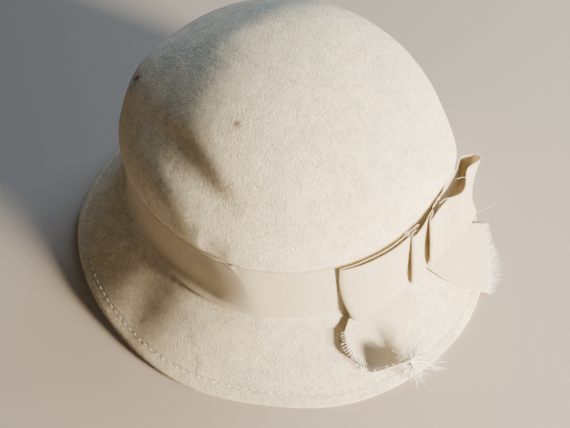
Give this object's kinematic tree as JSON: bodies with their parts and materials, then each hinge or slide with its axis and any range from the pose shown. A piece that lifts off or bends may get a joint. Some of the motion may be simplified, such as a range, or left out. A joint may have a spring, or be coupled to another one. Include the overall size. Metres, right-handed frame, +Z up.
{
  "type": "cloche hat",
  "caption": "Cream felt cloche hat with a domed, dented crown, a sloping brim, a ribbon band and a flat side bow with frayed tails.",
  "frame": {"origin": "on the table, under the middle of the hat's outer box", "axes": "+Z up through the crown, -Y to the side of the hat taken as its front, +X to the side with the bow"},
  "size_m": [0.2632, 0.2518, 0.14],
  "materials": {
    "felt": "fuzzy wool felt, matte",
    "ribbon": "plain-weave ribbon, soft low sheen"
  },
  "bodies": {
    "root": {"felt_body": "felt", "band": "ribbon", "bow_loop_front": "ribbon", "bow_loop_back": "ribbon", "bow_knot": "ribbon", "bow_tail_front": "ribbon", "bow_tail_back": "ribbon"}
  },
  "joints": []
}
